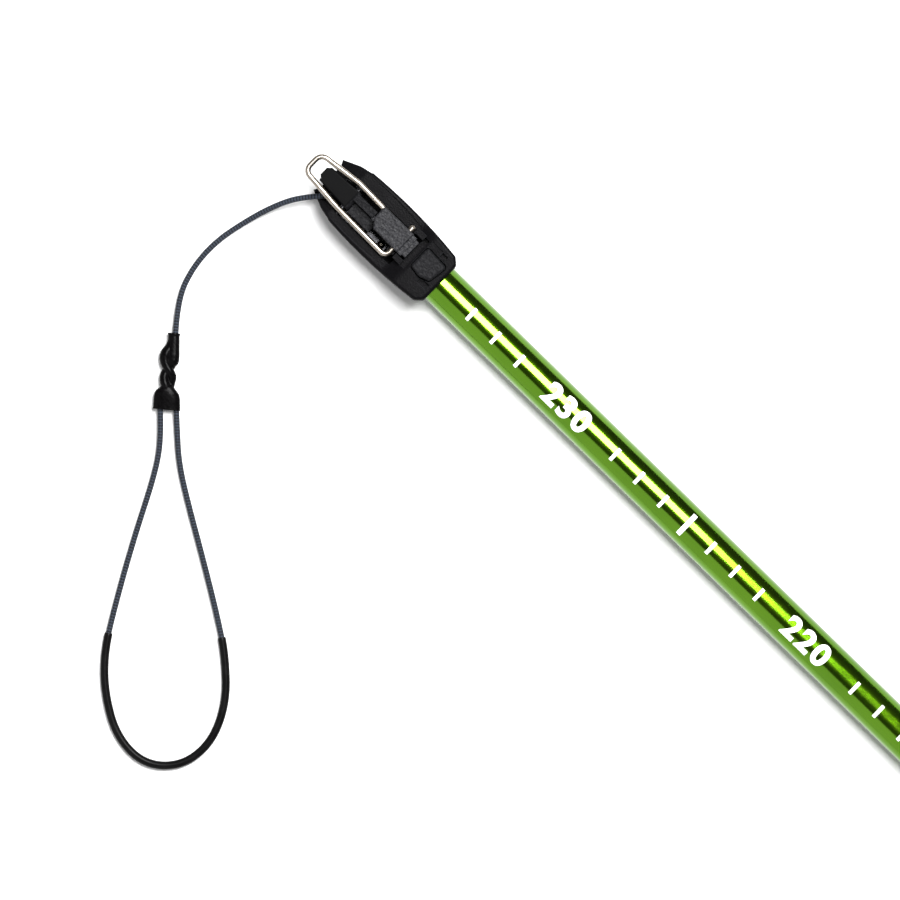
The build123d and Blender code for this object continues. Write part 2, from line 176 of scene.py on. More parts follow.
def evenly(points, step):
    """The same line as points about one step apart."""
    distances = along(points)
    count = max(2, round(distances[-1] / step) + 1)
    even = []
    i = 0
    for k in range(count):
        wanted = distances[-1] * k / (count - 1)
        while i < len(points) - 2 and distances[i + 1] < wanted:
            i += 1
        share = (wanted - distances[i]) / max(distances[i + 1] - distances[i], 1e-12)
        even.append(points[i].lerp(points[i + 1], min(max(share, 0.0), 1.0)))
    return even


def frames(points):
    """A forward, sideways and upward direction at each point, that don't twist along the line."""
    result = []
    up = Vector((0, 0, 1))
    for i in range(len(points)):
        forward = (points[min(i + 1, len(points) - 1)] - points[max(i - 1, 0)]).normalized()
        up = (up - forward * up.dot(forward)).normalized()
        result.append((forward, up.cross(forward), up))
    return result


def tube_rings(points, radius, sides):
    """Rings of vertices round a line. The radius may be one number or one for each point."""
    vertices = []
    for i, (point, (_, side, up)) in enumerate(zip(points, frames(points))):
        r = radius[i] if isinstance(radius, list) else radius
        for s in range(sides):
            angle = 2 * math.pi * s / sides
            vertices.append(point + side * (r * math.cos(angle)) + up * (r * math.sin(angle)))
    return vertices


def set_materials(obj, *materials):
    """Gives an object its materials, one to a slot."""
    obj.data.materials.clear()
    for material in materials:
        obj.data.materials.append(material)


# ---- material helpers -------------------------------------------------------------------


def new_material(name, **values):
    """A node material with values set on its shader's own sockets. Returns it with its tree and shader."""
    material = bpy.data.materials.new(name)
    material.use_nodes = True
    tree = material.node_tree
    shader = tree.nodes["Principled BSDF"]
    for key, value in values.items():
        shader.inputs[key.replace("_", " ")].default_value = value
    return material, tree, shader


def add(tree, kind, inputs=(), **settings):
    """Adds a shader node, and sets or links its inputs by name or by number."""
    made = tree.nodes.new("ShaderNode" + kind)
    for key, value in settings.items():
        setattr(made, key, value)
    for key, value in dict(inputs).items():
        if isinstance(value, bpy.types.NodeSocket):
            tree.links.new(value, made.inputs[key])
        else:
            made.inputs[key].default_value = value
    return made


def place(tree, stretch=(1, 1, 1)):
    """The object's own coordinates in millimetres, stretched."""
    coordinates = add(tree, "TexCoord")
    scale = tuple(1000 * s for s in stretch)
    return add(tree, "Mapping", {"Vector": coordinates.outputs["Object"], "Scale": scale}).outputs[0]


def noise(tree, vector, scale, detail=4.0, rough=0.55):
    """A noise value, with scale as features to the millimetre."""
    inputs = {"Vector": vector, "Scale": scale, "Detail": detail, "Roughness": rough}
    return add(tree, "TexNoise", inputs).outputs["Fac"]


def ramp(tree, value, low, high, stops=(0.3, 0.7)):
    """A colour between low and high as the value passes between the two stops."""
    made = add(tree, "ValToRGB", {"Fac": value})
    for element, stop, colour in zip(made.color_ramp.elements, stops, (low, high)):
        element.position = stop
        element.color = (*colour, 1)
    return made.outputs["Color"]


def between(tree, value, low, high, start=0.0, end=1.0):
    """The value's range from start to end, mapped to low to high."""
    inputs = {"Value": value, 1: start, 2: end, 3: low, 4: high}
    return add(tree, "MapRange", inputs).outputs["Result"]


def mix(tree, factor, a, b):
    """A colour mixed from two."""
    made = add(tree, "Mix", data_type="RGBA")
    for key, value in ((0, factor), (6, a), (7, b)):
        if isinstance(value, bpy.types.NodeSocket):
            tree.links.new(value, made.inputs[key])
        elif key:
            made.inputs[key].default_value = (*value, 1)
        else:
            made.inputs[key].default_value = value
    return made.outputs[2]


def bump(tree, height, depth, normal=None):
    """A bump of a depth in millimetres."""
    inputs = {"Height": height, "Distance": depth / 1000, "Strength": 1.0}
    if normal:
        inputs["Normal"] = normal
    return add(tree, "Bump", inputs).outputs["Normal"]


def soft_edges(tree, radius):
    """A normal that rounds sharp edges by a radius in millimetres, and how near an edge a point is."""
    rounded = add(tree, "Bevel", {"Radius": radius / 1000}, samples=4).outputs[0]
    flat = add(tree, "NewGeometry").outputs["Normal"]
    same = add(tree, "VectorMath", {0: rounded, 1: flat}, operation="DOT_PRODUCT").outputs["Value"]
    return rounded, between(tree, same, 1.0, 0.0, 0.8, 1.0)


def link(tree, shader, **sockets):
    """Links outputs to the shader's sockets."""
    for key, value in sockets.items():
        tree.links.new(value, shader.inputs[key.replace("_", " ")])


# ---- materials --------------------------------------------------------------------------


def anodised_green():
    """Drawn alloy tube, dyed green: fine lines along it, a clear sealed skin and faint handling marks."""
    material, tree, shader = new_material(
        "anodised_green", Metallic=1.0, Coat_Weight=0.27, Coat_Roughness=0.1, Coat_IOR=1.6
    )
    lines = noise(tree, place(tree, (0.02, 1, 1)), 5.0, 6.0)
    cloud = noise(tree, place(tree), 0.05, 3.0)
    marks = noise(tree, place(tree, (0.35, 1, 1)), 0.9, 8.0, 0.7)
    dye = ramp(tree, cloud, (0.064, 0.172, 0.0), (0.079, 0.196, 0.001))
    streaked = mix(tree, between(tree, lines, 0.0, 0.3, 0.35, 0.75), dye, (0.10, 0.23, 0.003))
    link(tree, shader, Base_Color=streaked)
    worn = add(tree, "Math", {0: lines, 1: marks}, operation="MULTIPLY").outputs[0]
    link(tree, shader, Roughness=between(tree, worn, 0.12, 0.23, 0.1, 0.5))
    link(tree, shader, Normal=bump(tree, lines, 0.0015))
    return material


def moulded_black(name, colour, grain, depth, roughness, shine, contrast=2.0, smooth_and_shaded_to=None):
    """Glass-filled black plastic: spark-eroded grain, cloudy gloss, and edges painted paler in patches, a
    painted edge highlight that is partly rubbed wear.

    Grain is in features to the millimetre, and depth in millimetres. Contrast is how much paler the grain's
    tops are. With an X given last, the plastic is smooth up to that X, its colour painted darker there as
    painted shade, and grained beyond it.
    """
    material, tree, shader = new_material(name, Specular_IOR_Level=shine)
    rounded, near_edge = soft_edges(tree, 0.25)
    fine = noise(tree, place(tree), grain, 3.0)
    cells = add(tree, "TexVoronoi", {"Vector": place(tree), "Scale": grain * 0.6}).outputs["Distance"]
    patches = noise(tree, place(tree), 0.25, 5.0, 0.65)
    pale = tuple(contrast * c for c in colour)
    base = ramp(tree, fine, colour, pale, (0.35, 0.8))
    relief = add(tree, "Math", {0: fine, 1: cells}, operation="ADD").outputs[0]
    if smooth_and_shaded_to is not None:
        x = add(tree, "SeparateXYZ", {0: place(tree)}).outputs[0]
        start = smooth_and_shaded_to - ORIGIN_X
        grained = between(tree, x, 0.0, 1.0, start - 0.2, start + 0.2)
        # the smooth tab's colour is painted darker: painted shade for the shadow the tab lies in
        base = mix(tree, grained, tuple(0.35 * c for c in colour), base)
        relief = add(tree, "Math", {0: relief, 1: grained}, operation="MULTIPLY").outputs[0]
    # edges painted paler where the wear patches fall: a painted highlight along the edges, partly rubbed
    # wear
    wear = between(tree, patches, 0.15, 0.9, 0.35, 0.65)
    edge_highlight_and_wear = add(tree, "Math", {0: near_edge, 1: wear}, operation="MULTIPLY").outputs[0]
    link(tree, shader, Base_Color=mix(tree, edge_highlight_and_wear, base, (0.025, 0.026, 0.029)))
    link(tree, shader, Roughness=between(tree, patches, roughness - 0.07, roughness + 0.08, 0.3, 0.7))
    link(tree, shader, Normal=bump(tree, relief, depth, rounded))
    return material


def drawn_wire():
    """Nickel-plated spring wire: draw marks, warm tint and dull patches."""
    material, tree, shader = new_material("drawn_wire", Metallic=1.0)
    scratches = noise(tree, place(tree, (0.12, 1, 1)), 6.0, 6.0)
    patches = noise(tree, place(tree), 0.6, 5.0, 0.6)
    link(tree, shader, Base_Color=ramp(tree, patches, (0.205, 0.182, 0.152), (0.31, 0.28, 0.247)))
    link(tree, shader, Roughness=between(tree, scratches, 0.24, 0.42, 0.3, 0.7))
    link(tree, shader, Normal=bump(tree, scratches, 0.006))
    return material


def turned_metal(name, colour, roughness):
    """Machined metal with fine rings round the X axis."""
    material, tree, shader = new_material(name, Metallic=1.0)
    rings = noise(tree, place(tree, (1, 0.03, 0.03)), 5.0, 3.0)
    stain = noise(tree, place(tree), 0.12, 4.0, 0.55)
    dark = tuple(0.85 * c for c in colour)
    link(tree, shader, Base_Color=ramp(tree, stain, dark, colour))
    link(tree, shader, Roughness=between(tree, rings, roughness - 0.04, roughness + 0.06, 0.3, 0.7))
    link(tree, shader, Normal=bump(tree, rings, 0.002))
    return material


def yarn(name, dark, pale):
    """Filament yarn: fine filaments, slight sheen and a little dust in the hollows."""
    material, tree, shader = new_material(name, Sheen_Weight=0.05, Specular_IOR_Level=0.12)
    filaments = noise(tree, place(tree), 9.0, 4.0)
    soil = noise(tree, place(tree), 0.35, 4.0, 0.65)
    tone = ramp(tree, filaments, dark, pale)
    link(tree, shader, Base_Color=mix(tree, between(tree, soil, 0.0, 0.4, 0.45, 0.8), tone, dark))
    link(tree, shader, Roughness=between(tree, filaments, 0.42, 0.68, 0.3, 0.7))
    link(tree, shader, Normal=bump(tree, filaments, 0.02))
    return material


def shrink_tube():
    """Black heat-shrink over a knot: satin, with faint stretch wrinkles."""
    material, tree, shader = new_material("shrink_tube", Specular_IOR_Level=0.035)
    wrinkles = noise(tree, place(tree, (0.5, 1, 0.5)), 1.6, 5.0, 0.6)
    fine = noise(tree, place(tree), 6.0, 3.0)
    tone = ramp(tree, wrinkles, (0.001, 0.0009, 0.001), (0.0025, 0.0023, 0.0025))
    link(tree, shader, Base_Color=tone)
    link(tree, shader, Roughness=between(tree, wrinkles, 0.2, 0.34, 0.3, 0.7))
    link(tree, shader, Normal=bump(tree, fine, 0.006, bump(tree, wrinkles, 0.04)))
    return material


def grip_rubber():
    """Soft black rubber tube: satin, with moulding flow lines and a little dust."""
    material, tree, shader = new_material("grip_rubber", Specular_IOR_Level=0.05)
    fine = noise(tree, place(tree), 5.0, 5.0)
    dust = noise(tree, place(tree), 0.3, 5.0, 0.7)
    tone = ramp(tree, dust, (0.0022, 0.0021, 0.0022), (0.006, 0.0058, 0.006), (0.4, 0.8))
    link(tree, shader, Base_Color=tone)
    link(tree, shader, Roughness=between(tree, fine, 0.26, 0.42, 0.3, 0.7))
    link(tree, shader, Normal=bump(tree, fine, 0.015))
    return material


def white_ink():
    """Screen-printed ink: slightly uneven, with pinholes worn in it."""
    material, tree, shader = new_material("white_ink", Specular_IOR_Level=0.4)
    uneven = noise(tree, place(tree), 3.0, 5.0, 0.6)
    worn = noise(tree, place(tree), 9.0, 3.0, 0.7)
    ink = ramp(tree, uneven, (0.80, 0.81, 0.80), (0.90, 0.91, 0.90))
    pinholes = between(tree, worn, 0.0, 0.3, 0.72, 0.8)
    link(tree, shader, Base_Color=mix(tree, pinholes, ink, (0.42, 0.52, 0.3)))
    link(tree, shader, Roughness=between(tree, uneven, 0.38, 0.55, 0.3, 0.7))
    link(tree, shader, Normal=bump(tree, uneven, 0.006))
    return material


def paper_floor():
    """The white ground."""
    material, tree, shader = new_material("paper_floor", Roughness=0.8, Specular_IOR_Level=0.1)
    grain = noise(tree, place(tree), 0.02, 3.0)
    link(tree, shader, Base_Color=ramp(tree, grain, (0.68, 0.68, 0.68), (0.70, 0.70, 0.70)))
    return material


# ---- stage ------------------------------------------------------------------------------


def camera():
    """The photograph's view: straight down, turned so that the first tube falls to the lower right."""
    data = bpy.data.cameras.new("camera")
    data.lens = LENS
    data.clip_start = 0.01
    obj = bpy.data.objects.new("camera", data)
    height = VIEW_WIDTH * LENS / data.sensor_width
    obj.location = mm(*VIEW_CENTRE, height)
    obj.rotation_euler = (0, 0, math.radians(VIEW_TURN))
    bpy.context.scene.collection.objects.link(obj)
    bpy.context.scene.camera = obj


def panel(name, where, at, width, depth, power):
    """A rectangular white softbox that points at a place, in metres and watts."""
    data = bpy.data.lights.new(name, "AREA")
    data.shape = "RECTANGLE"
    data.size = width
    data.size_y = depth
    data.energy = power
    obj = bpy.data.objects.new(name, data)
    obj.location = where
    direction = Vector(at) - Vector(where)
    obj.rotation_euler = direction.to_track_quat("-Z", "Y").to_euler()
    obj.visible_camera = False
    bpy.context.scene.collection.objects.link(obj)


def lights():
    """A softbox above the lock's far side, a wall of light on the near side, and a faint fill all round.

    The tube mirrors the softbox as its thin highlight, which fades where the softbox ends, and the wall
    as its broad green side.
    """
    panel("strip", (-0.03, 0.345, 0.95), (-0.03, 0.0, 0.0), 0.37, 0.54, 29.5)
    panel("near_wall", (0.1, -1.15, 0.63), (0.1, 0.0, 0.01), 2.8, 1.56, 19.0)
    world = bpy.data.worlds.new("studio")
    world.use_nodes = True
    background = world.node_tree.nodes["Background"]
    background.inputs["Color"].default_value = (1, 1, 1, 1)
    background.inputs["Strength"].default_value = FILL_LIGHT
    bpy.context.scene.world = world
    bpy.context.scene.view_settings.view_transform = "Standard"


def floor():
    """A wide plain ground under the probe."""
    far = FLOOR_HALF_SIZE_M
    corners = [(-far, -far, 0), (far, -far, 0), (far, far, 0), (-far, far, 0)]
    ground = mesh_object("floor", corners, [(0, 1, 2, 3)], smooth=False)
    set_materials(ground, paper_floor())


# ---- where the sections lie -------------------------------------------------------------


def unit(heading):
    """The direction of a heading in degrees."""
    return Vector((math.cos(math.radians(heading)), math.sin(math.radians(heading)), 0))


def folded_chain():
    """Each section's mouth and heading, and each fold's hinge point and side, in millimetres."""
    sections = [(Vector((0, 0, AXIS_Z)), 0.0)]
    hinges = []
    for n, (opening, pitch) in enumerate(zip(OPENINGS, PITCHES)):
        mouth, heading = sections[-1]
        side = 1 if n % 2 == 0 else -1
        spigot_end = mouth + unit(heading) * (SECTION_LENGTH + SPIGOT_OUTSIDE)
        hinge = spigot_end + unit(heading) * (SLACK / 2) + unit(heading + 90) * (side * pitch / 2)
        turned = heading + side * (180 - opening)
        next_mouth = hinge + unit(turned) * (SLACK / 2) - unit(turned + 90) * (side * pitch / 2)
        hinges.append((hinge, side, heading, turned))
        sections.append((next_mouth, turned))
    return sections, hinges


SECTION_PLACES, HINGES = folded_chain()


def section_matrix(n):
    """A section's own frame: X along it from its mouth, in metres."""
    mouth, heading = SECTION_PLACES[n]
    return Matrix.Translation(mm(*mouth)) @ Matrix.Rotation(math.radians(heading), 4, "Z")


def section_body(n):
    """The body that a section belongs to, counted from 0."""
    return "lock" if n == 0 else f"section_{n + 1}"


# ---- tubes, spigots, tip and print ------------------------------------------------------


def lathe(name, profile, n, sides=96):
    """A turned piece of section n: a closed outline of (x, radius) in millimetres, turned round X."""
    vertices = []
    for x, radius in profile:
        for s in range(sides):
            angle = 2 * math.pi * s / sides
            across = (radius * math.cos(angle), radius * math.sin(angle))
            vertices.append((x / 1000, across[0] / 1000, across[1] / 1000))
    obj = mesh_object(name, vertices, ring_faces(len(profile), sides, closed=True))
    obj.data.set_sharp_from_angle(angle=math.radians(30))
    obj.matrix_world = section_matrix(n)
    return obj


def tube_profile(start, end):
    """A tube's outline with broken edges at both mouths."""
    broken = 0.15
    return [
        (start, BORE_RADIUS + broken),
        (start, TUBE_RADIUS - broken),
        (start + broken, TUBE_RADIUS),
        (end - broken, TUBE_RADIUS),
        (end, TUBE_RADIUS - broken),
        (end, BORE_RADIUS + broken),
        (end - broken, BORE_RADIUS),
        (start + broken, BORE_RADIUS),
    ]


def spigot_profile():
    """A spigot's outline: a thick bonded half, a slim half and a long rounded lead."""
    inner = SECTION_LENGTH - SPIGOT_INSIDE
    outer = SECTION_LENGTH + SPIGOT_OUTSIDE
    return [
        (inner, SPIGOT_BORE),
        (inner, BORE_RADIUS),
        (SECTION_LENGTH, BORE_RADIUS),
        (SECTION_LENGTH, SPIGOT_SLIM),
        (outer - 5.0, SPIGOT_SLIM),
        (outer - 3.0, SPIGOT_SLIM - 0.36),
        (outer - 1.0, SPIGOT_SLIM - 0.9),
        (outer - 0.3, SPIGOT_BORE + 0.42),
        (outer, SPIGOT_BORE + 0.2),
        (outer, SPIGOT_BORE + 0.1),
        (outer - 0.3, SPIGOT_BORE),
    ]


def tip_profile():
    """The tip's outline: shank, collar and blunt cone."""
    collar = SECTION_LENGTH - TIP_LENGTH
    shank = collar - TIP_SHANK
    return [
        (shank, 1.0),
        (shank, BORE_RADIUS - 0.2),
        (shank + 0.2, BORE_RADIUS),
        (collar, BORE_RADIUS),
        (collar, TUBE_RADIUS - 0.1),
        (collar + 0.1, TUBE_RADIUS),
        (collar + 4.8, TUBE_RADIUS),
        (collar + 5.4, TUBE_RADIUS - 0.1),
        (SECTION_LENGTH - 2.0, 2.3),
        (SECTION_LENGTH - 0.6, 1.7),
        (SECTION_LENGTH - 0.1, 0.8),
        (SECTION_LENGTH, 0.5),
        (SECTION_LENGTH, 0.0001),
        (shank + 15.0, 0.0001),
        (shank + 15.0, 1.0),
    ]


def flat_rectangle(bm, x, width, height):
    """Adds a rectangle centred on (x, 0) to a flat mesh, in millimetres."""
    corners = [(-1, -1), (1, -1), (1, 1), (-1, 1)]
    bm.faces.new([bm.verts.new((x + i * width / 2, j * height / 2, 0)) for i, j in corners])


def flat_number(bm, number, x, height):
    """Adds a bold number centred on (x, 0) to a flat mesh, in millimetres."""
    curve = bpy.data.curves.new("number", "FONT")
    curve.body = str(number)
    curve.size = 10.0
    curve.offset = 0.38
    curve.space_character = 1.2
    curve.resolution_u = 5
    source = bpy.data.objects.new("number", curve)
    mesh = bpy.data.meshes.new_from_object(source)
    low = [min(v.co[i] for v in mesh.vertices) for i in (0, 1)]
    high = [max(v.co[i] for v in mesh.vertices) for i in (0, 1)]
    grow = height / (high[1] - low[1])
    middle = [(a + b) / 2 for a, b in zip(low, high)]
    for v in mesh.vertices:
        v.co = ((v.co.x - middle[0]) * grow + x, (v.co.y - middle[1]) * grow, 0)
    bm.from_mesh(mesh)
    bpy.data.objects.remove(source)
    bpy.data.meshes.remove(mesh)


def depth_scale(n):
    """The depth print on section n: a tick each centimetre, a bar each five and a number each ten."""
    bm = bmesh.new()
    last = SECTION_LENGTH - (TIP_LENGTH if n == SECTIONS - 1 else 0)
    for centimetre in range(PRINT_START_CM if n == 0 else 1, int(last / 10)):
        x = centimetre * 10.0
        if centimetre % 10 == 0:
            from_tip = round((SECTIONS - n) * SECTION_LENGTH / 10) - centimetre
            flat_number(bm, from_tip, x, NUMBER_HEIGHT)
        elif 1 < centimetre % 10 < 9:
            flat_rectangle(bm, x, *(BAR if centimetre % 5 == 0 else TICK))
    bmesh.ops.triangulate(bm, faces=bm.faces)
    # the flat print is cut into narrow strips, so that it can bend round the tube
    strips = math.ceil(BAR[1] / 2 / INK_STRIP)
    for k in range(-strips, strips + 1):
        everything = bm.verts[:] + bm.edges[:] + bm.faces[:]
        bmesh.ops.bisect_plane(bm, geom=everything, plane_co=(0, k * INK_STRIP, 0), plane_no=(0, 1, 0))
    radius = TUBE_RADIUS + INK_THICKNESS
    for v in bm.verts:
        angle = v.co.y / radius
        v.co = Vector((v.co.x, radius * math.sin(angle), radius * math.cos(angle))) / 1000
    mesh = bpy.data.meshes.new(f"depth_scale_{n + 1}")
    bm.to_mesh(mesh)
    bm.free()
    obj = bpy.data.objects.new(mesh.name, mesh)
    bpy.context.scene.collection.objects.link(obj)
    obj.matrix_world = section_matrix(n)
    return obj


def poles(green, alloy, ink):
    """All six tubes with their spigots, print and the tip."""
    for n in range(SECTIONS):
        start = TUBE_START if n == 0 else 0.0
        end = SECTION_LENGTH - (TIP_LENGTH if n == SECTIONS - 1 else 0.0)
        tube = lathe(f"tube_shell_{n + 1}", tube_profile(start, end), n)
        set_materials(tube, green)
        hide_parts(f"tube_{n + 1}")
        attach(tube, section_body(n))
        scale = depth_scale(n)
        set_materials(scale, ink)
        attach(scale, section_body(n))
        if n < SECTIONS - 1:
            spigot = lathe(f"spigot_turned_{n + 1}", spigot_profile(), n)
            set_materials(spigot, alloy)
            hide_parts(f"spigot_{n + 1}")
            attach(spigot, section_body(n))
    tip = lathe("tip_turned", tip_profile(), SECTIONS - 1)
    set_materials(tip, alloy)
    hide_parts("tip_cone")
    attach(tip, section_body(SECTIONS - 1))


# ---- cords ------------------------------------------------------------------------------


def route_line(name, route):
    """A route's smooth line: a NURBS spline on its points, read back as evenly spaced points."""
    curve = bpy.data.curves.new(name, "CURVE")
    curve.dimensions = "3D"
    spline = curve.splines.new("NURBS")
    spline.points.add(len(route) - 1)
    for point, corner in zip(spline.points, route):
        point.co = (*mm(*corner), 1)
    spline.order_u = 3
    spline.use_endpoint_u = True
    spline.resolution_u = 24
    bare = bpy.data.objects.new(name, curve)
    mesh = bpy.data.meshes.new_from_object(bare)
    points = [v.co.copy() for v in mesh.vertices]
    bpy.data.objects.remove(bare)
    bpy.data.meshes.remove(mesh)
    return evenly(points, LINE_STEP_M)


def strand_rings(line, hand, k):
    """Strand k of a braid's hand: a flat ellipse that winds round the line and weaves in and out."""
    step = BRAID_PITCH / CARRIERS / STEPS_PER_CROSSING
    fine = evenly(line, step / 1000)
    vertices = []
    middle = CORD_RADIUS - STRAND_HALF_THICKNESS - WEAVE
    for i, (point, (forward, side, up)) in enumerate(zip(fine, frames(fine))):
        s = i * step
        turn = hand * 2 * math.pi * s / BRAID_PITCH + 2 * math.pi * k / CARRIERS
        weave = hand * math.cos(2 * math.pi * CARRIERS * s / BRAID_PITCH)
        radius = (middle + WEAVE * weave) / 1000
        outward = side * math.cos(turn) + up * math.sin(turn)
        onward = up * math.cos(turn) - side * math.sin(turn)
        lean = math.atan(hand * 2 * math.pi * middle / BRAID_PITCH)
        broad = onward * math.cos(lean) - forward * math.sin(lean)
        centre = point + outward * radius
        for j in range(STRAND_SIDES):
            angle = 2 * math.pi * j / STRAND_SIDES
            width = broad * (STRAND_HALF_WIDTH / 1000 * math.cos(angle))
            thickness = outward * (STRAND_HALF_THICKNESS / 1000 * math.sin(angle))
            vertices.append(centre + width + thickness)
    return vertices


def braided_cord(name, line, tones):
    """A braided cord along a line: a core, pale strands that wind one way and dark ones the other way.

    The tones are the materials of the dark strands, the pale strands and the core.
    """
    vertices = tube_rings(line, CORE_RADIUS / 1000, CORE_SIDES)
    faces = capped_faces(len(line), CORE_SIDES)
    slots = [2] * len(faces)
    for hand in (1, -1):
        for k in range(CARRIERS):
            rings = strand_rings(line, hand, k)
            strip = ring_faces(len(rings) // STRAND_SIDES, STRAND_SIDES, first=len(vertices))
            vertices += rings
            faces += strip
            slots += [1 if hand > 0 else 0] * len(strip)
    obj = mesh_object(name, vertices, faces)
    set_materials(obj, *tones)
    obj.data.polygons.foreach_set("material_index", slots)
    return obj


def nearest(line, point):
    """The index of a line's point nearest to a place."""
    return min(range(len(line)), key=lambda i: (line[i] - point).length)


def free_cords(tones, sleeve_material, rubber):
    """The pull cord, the loop, the sleeve that joins them and the loop's grip."""
    pull_line = route_line("pull_route", PULL_ROUTE)
    loop_line = route_line("loop_route", LOOP_ROUTE)
    pull = braided_cord("pull_cord_braid", pull_line, tones)
    loop = braided_cord("loop_cord_braid", loop_line, tones)
    sleeve = shrunk_sleeve(sleeve_material)
    grip = loop_grip(loop_line, rubber)
    nodes = {"pull_cord": pull, "loop_cord": loop, "join_sleeve": sleeve, "loop_grip": grip}
    for node, piece in nodes.items():
        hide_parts(node)
        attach(piece, "lock")


def smooth_step(value, start, end):
    """0 before start, 1 after end, and smooth between them."""
    share = min(max((value - start) / (end - start), 0.0), 1.0)
    return share * share * (3 - 2 * share)


def eased(stations, steps):
    """The stations with a smooth curve drawn through them: so many steps from each to the next."""
    result = []
    padded = [stations[0], *stations, stations[-1]]
    for a, b, c, d in zip(padded, padded[1:], padded[2:], padded[3:]):
        for k in range(steps):
            t = k / steps
            near = [(2 * q + (r - p) * t) / 2 for p, q, r in zip(a, b, c)]
            bend = [(2 * p - 5 * q + 4 * r - s) * t**2 / 2 for p, q, r, s in zip(a, b, c, d)]
            twist = [(3 * q - p - 3 * r + s) * t**3 / 2 for p, q, r, s in zip(a, b, c, d)]
            result.append(tuple(x + y + z for x, y, z in zip(near, bend, twist)))
    return result + [stations[-1]]


def sleeve_place(distance, across, up):
    """A point of the sleeve: millimetres from its top rim, across it and up from its middle."""
    top = Vector(SLEEVE_TOP)
    direction = (Vector(SLEEVE_FOOT) - top).normalized()
    sideways = Vector((-direction.y, direction.x, 0))
    return mm(*(top + direction * distance + sideways * across + Vector((0, 0, up))))


def flat_shell(stations, sides=64, power=2.4):
    """A closed shell through rings of (distance, across, half width, half height)."""
    vertices = []
    for distance, across, wide, high in stations:
        for s in range(sides):
            angle = 2 * math.pi * s / sides
            x, z = math.cos(angle), math.sin(angle)
            reach = (abs(x) ** power + abs(z) ** power) ** (-1 / power)
            vertices.append(sleeve_place(distance, across + wide * x * reach, high * z * reach))
    return vertices, capped_faces(len(stations), sides)


def lobe(stations, sides=28):
    """A closed rounded tube through (distance, across, up, radius)."""
    smooth_stations = eased(stations, 8)
    line = [sleeve_place(*station[:3]) for station in smooth_stations]
    vertices = tube_rings(line, [station[3] / 1000 for station in smooth_stations], sides)
    return vertices, capped_faces(len(line), sides)


def shrunk_sleeve(material):
    """The heat-shrunk sleeve: a neck, two twisted strands and a hollow skirt, drawn into one skin.

    The neck and skirt are rings of (distance, across, half width, half height) from the top rim, and the
    strands are stations of (distance, across, up, radius).
    """
    neck = [(1.4, 0.0, 1.15, 1.15), (0.0, 0.0, 1.2, 1.2), (0.0, 0.0, 1.86, 1.8), (0.35, 0.0, 1.88, 1.8)]
    neck += [(0.8, 0.02, 1.72, 1.7), (2.4, 0.2, 1.74, 1.72), (4.6, 0.3, 1.82, 1.75), (6.6, 0.42, 1.9, 1.8)]
    neck += [(8.4, 0.5, 1.84, 1.75), (9.2, 0.5, 1.62, 1.5), (9.8, 0.45, 1.15, 1.05), (10.0, 0.4, 0.5, 0.4)]
    front = [(2.2, -0.3, 0.0, 1.35), (4.2, -0.75, 0.0, 1.5), (6.3, -1.75, 0.1, 1.75)]
    front += [(8.1, -1.95, 0.2, 1.65), (10.0, -1.3, 0.45, 1.4), (11.6, -0.1, 0.5, 1.3)]
    front += [(13.2, 0.75, 0.1, 1.28), (15.0, 0.5, -0.4, 1.3), (17.4, 0.3, -0.3, 1.2)]
    back = [(8.4, 0.6, -0.3, 1.3), (10.2, -0.1, -0.45, 1.35), (11.9, -1.35, -0.15, 1.35)]
    back += [(13.6, -1.7, 0.2, 1.35), (15.2, -1.3, 0.5, 1.35), (16.7, -0.5, 0.5, 1.3), (18.0, 0.2, 0.2, 1.2)]
    skirt = [(15.7, -0.4, 1.7, 1.3), (16.6, -0.45, 2.3, 1.72), (17.4, -0.5, 3.15, 1.85)]
    skirt += [(18.3, -0.4, 3.75, 1.86), (19.6, -0.25, 3.98, 1.8), (22.0, -0.08, 4.08, 1.62)]
    skirt += [(22.8, -0.05, 4.12, 1.56), (23.2, -0.05, 4.2, 1.58)]
    skirt += [(23.2, -0.05, 3.72, 1.15), (21.4, -0.05, 3.66, 1.1)]
    vertices, faces = [], []
    for part_vertices, part_faces in (flat_shell(neck), lobe(front), lobe(back), flat_shell(skirt)):
        faces += [tuple(i + len(vertices) for i in face) for face in part_faces]
        vertices += part_vertices
    rough = mesh_object("knot_sleeve_rough", vertices, faces)
    skin = rough.modifiers.new("skin", "REMESH")
    skin.mode = "VOXEL"
    skin.voxel_size = 0.00013
    relax = rough.modifiers.new("relax", "SMOOTH")
    relax.factor = 0.5
    relax.iterations = 6
    graph = bpy.context.evaluated_depsgraph_get()
    mesh = bpy.data.meshes.new_from_object(rough.evaluated_get(graph))
    bpy.data.objects.remove(rough)
    obj = bpy.data.objects.new("knot_sleeve", mesh)
    bpy.context.scene.collection.objects.link(obj)
    mesh.shade_smooth()
    set_materials(obj, material)
    return obj


def loop_grip(line, material):
    """The rubber tube on the loop's end, with rounded cut ends."""
    first, last = nearest(line, mm(*GRIP_START)), nearest(line, mm(*GRIP_END))
    part = line[first : last + 1]
    reach = along(part)
    radii = []
    for distance in reach:
        from_end = min(distance, reach[-1] - distance) * 1000
        radii.append((GRIP_RADIUS - 0.12 * (1 - smooth_step(from_end, 0.0, 0.5))) / 1000)
    sides = 28
    outer = tube_rings(part, radii, sides)
    bore = CORD_RADIUS / 1000
    start = tube_rings(part[:2], bore, sides)[:sides]
    end = tube_rings(part[-2:], bore, sides)[sides:]
    vertices = start + outer + end
    obj = mesh_object("grip_tube", vertices, ring_faces(len(part) + 2, sides))
    obj.data.set_sharp_from_angle(angle=math.radians(50))
    set_materials(obj, material)
    return obj


